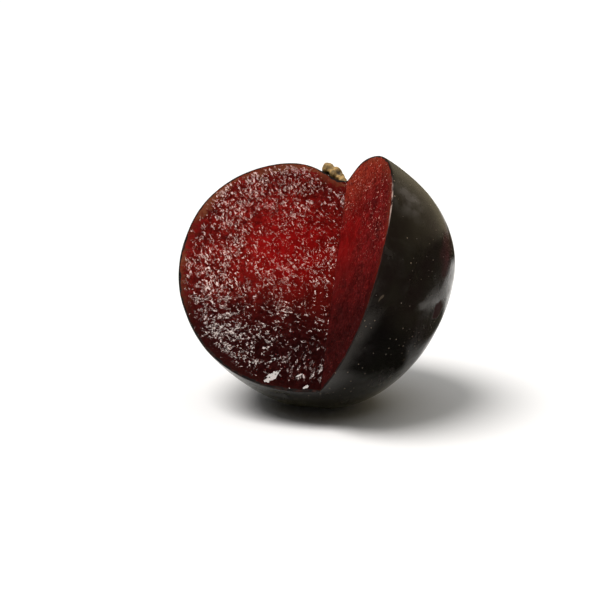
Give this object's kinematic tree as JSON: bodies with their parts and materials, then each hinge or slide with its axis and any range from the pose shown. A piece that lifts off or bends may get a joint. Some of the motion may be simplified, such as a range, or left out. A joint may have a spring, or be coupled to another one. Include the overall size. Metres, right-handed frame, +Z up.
{
  "type": "cut plum",
  "caption": "Ripe dark-skinned plum lying on a small flat spot, with a wedge cut out that shows its red flesh, and a short knotty stem stub.",
  "frame": {"origin": "on the surface that the fruit rests on, under the middle of its bounding box", "axes": "+Z up; the notch opens towards -Y and -X, and the stem end leans back towards +Y and +X"},
  "size_m": [0.0616, 0.0604, 0.0561],
  "materials": {
    "skin": "waxy, semi-gloss, near-black with a faint bloom",
    "flesh": "wet, fibrous, deep red",
    "stem": "dry, knotty, olive brown"
  },
  "bodies": {
    "root": {"plum": "skin", "stem": "stem"}
  },
  "joints": []
}
